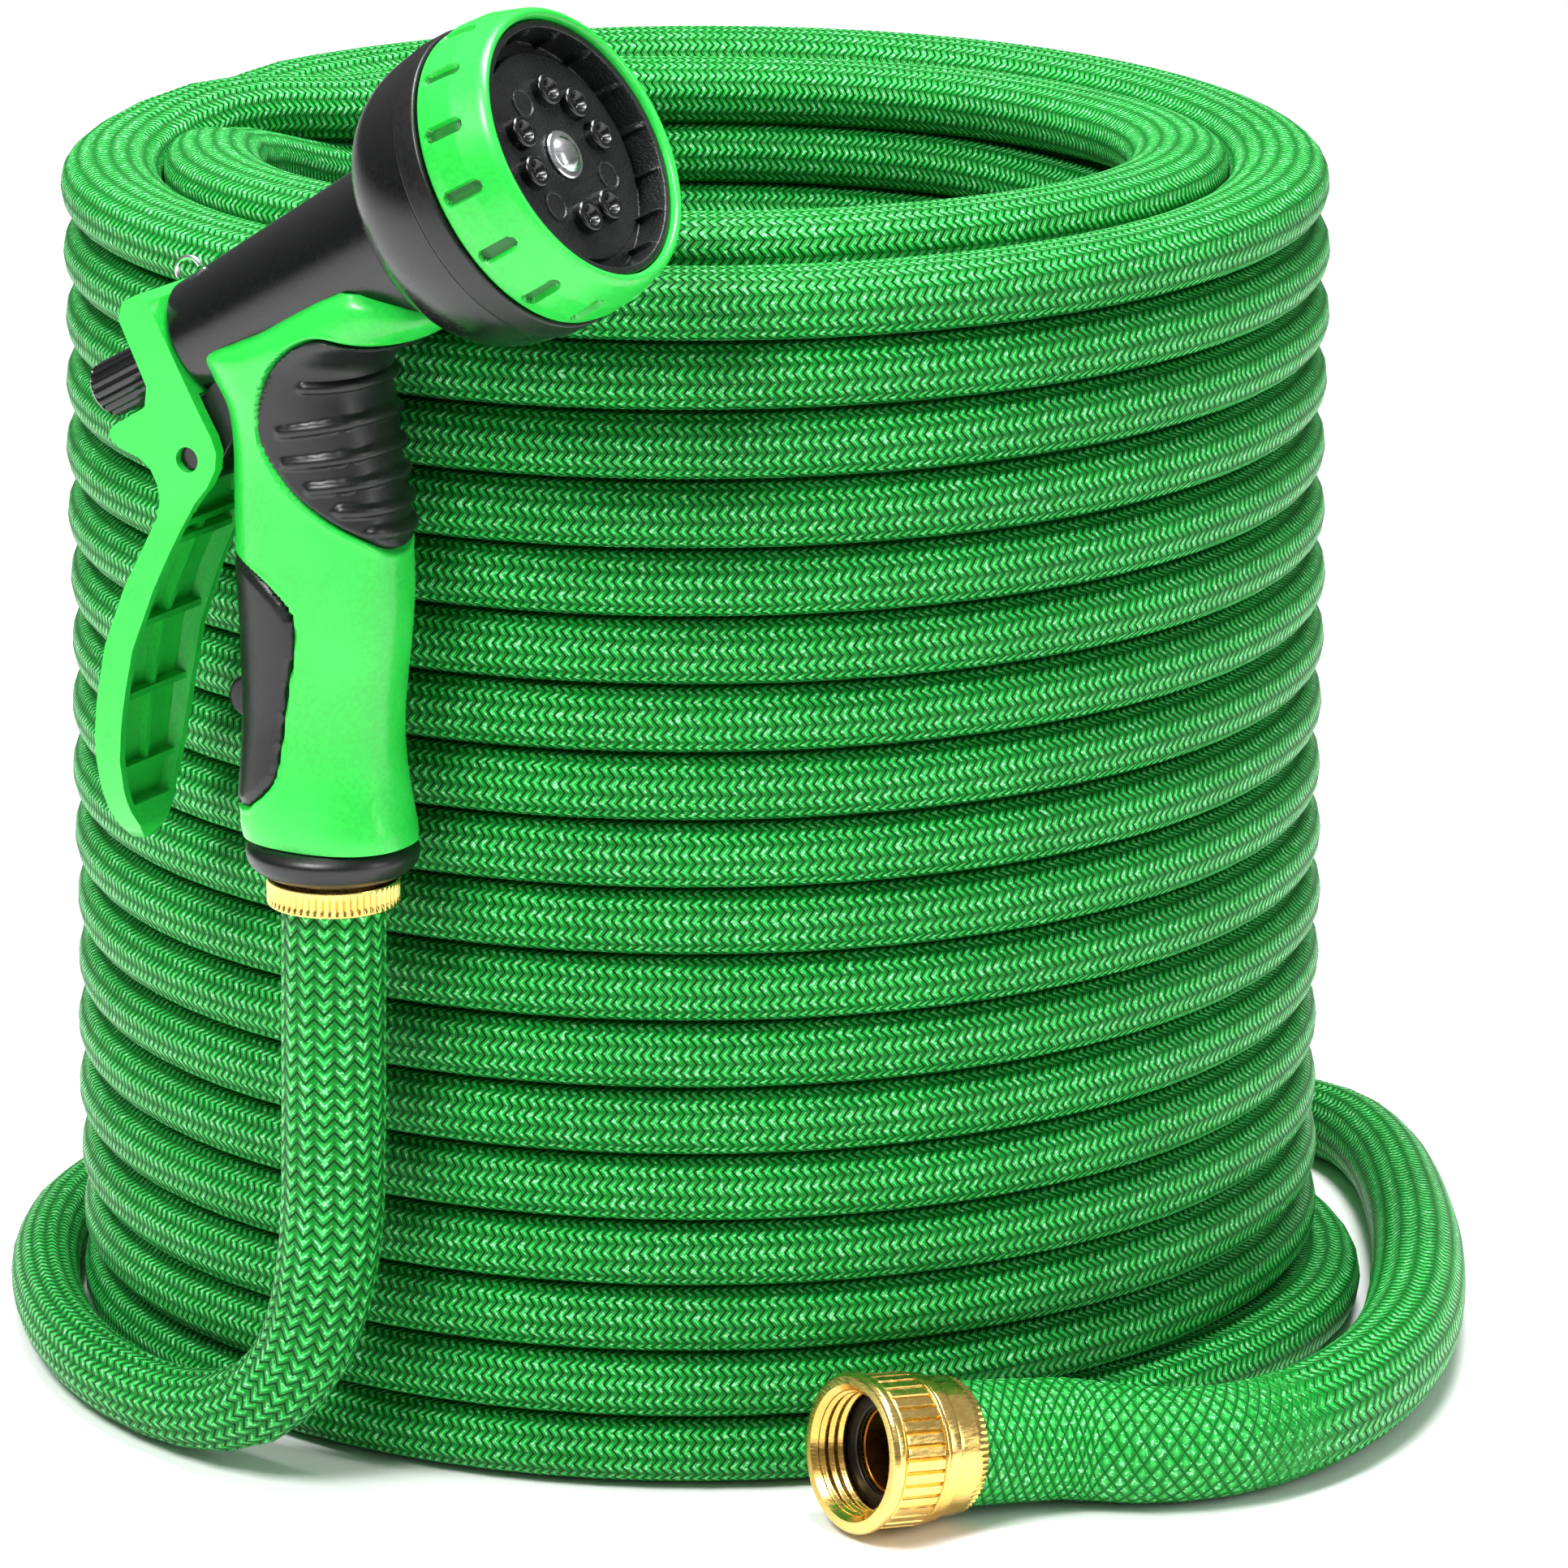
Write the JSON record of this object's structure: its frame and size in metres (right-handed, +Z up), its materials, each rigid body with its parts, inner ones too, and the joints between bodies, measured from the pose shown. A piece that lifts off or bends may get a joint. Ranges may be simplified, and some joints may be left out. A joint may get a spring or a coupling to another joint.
{
  "type": "garden hose",
  "caption": "Braided garden hose coiled in two layers, with a trigger spray nozzle on one end and a brass tap coupling on the other.",
  "frame": {"origin": "on the ground, below the middle of the box around the whole hose as it is stored", "axes": "+Z up along the coil's axis, -Y towards the front, where the nozzle and the tap coupling are, +X to the right"},
  "size_m": [0.362, 0.373, 0.3594],
  "materials": {
    "hose_braid": "tight braided polyester jacket with a satin sheen",
    "green_plastic": "smooth moulded, satin gloss",
    "black_plastic": "smooth moulded, satin",
    "black_rubber": "soft overmould, matt",
    "brass": "machined and polished",
    "steel": "bright plated"
  },
  "bodies": {
    "hose": {"hose_coil": "hose_braid", "hose_run_nozzle": "hose_braid", "hose_run_tap": "hose_braid", "hose_male_fitting": "brass", "handle_base_ring": "black_plastic", "nozzle_barrel": "black_plastic", "lever_pin": "steel", "barrel_loop": "steel", "head_screw": "steel", "nozzle_handle": "green_plastic", "front_grip": "black_rubber", "rear_insert": "black_rubber", "coupling_tail": "brass", "coupling_ferrule": "brass"},
    "spray_head": {"head_bezel": "green_plastic", "head_label_ring": "black_plastic", "head_face": "black_plastic"},
    "lever": {"lever": "green_plastic"},
    "valve_stem": {"valve_stem": "black_plastic"},
    "flow_knob": {"flow_knob": "black_plastic"},
    "coupling_nut": {"coupling_nut": "brass", "coupling_washer": "black_rubber"}
  },
  "joints": [
    {"name": "lever_squeeze", "type": "hinge", "parent": "hose", "child": "lever", "pos_m": [-0.11724, -0.108, 0.2496], "axis": [-0.5, -0.866, 0], "range_deg": [0, 12], "stiffness_Nm_per_rad": 4, "springref_deg": -11.46},
    {"name": "valve_slide", "type": "slide", "parent": "hose", "child": "valve_stem", "axis": [-0.7574, 0.4373, -0.4848], "range_m": [0, 0.005]},
    {"name": "flow_turn", "type": "hinge", "parent": "valve_stem", "child": "flow_knob", "pos_m": [-0.14449, -0.09226, 0.25895], "axis": [0.7574, -0.4373, 0.4848], "range_deg": [-180, 180]},
    {"name": "head_turn", "type": "hinge", "parent": "hose", "child": "spray_head", "pos_m": [-0.03739, -0.1541, 0.3275], "axis": [0.7574, -0.4373, 0.4848], "continuous": true},
    {"name": "coupling_swivel", "type": "hinge", "parent": "hose", "child": "coupling_nut", "pos_m": [0.02688, -0.1505, 0.0204], "axis": [0.8229, 0.555, -0.1219], "continuous": true}
  ],
  "couplings": [
    {"joint": "valve_slide", "follows": "lever_squeeze", "m_per_rad": 0.0234}
  ]
}
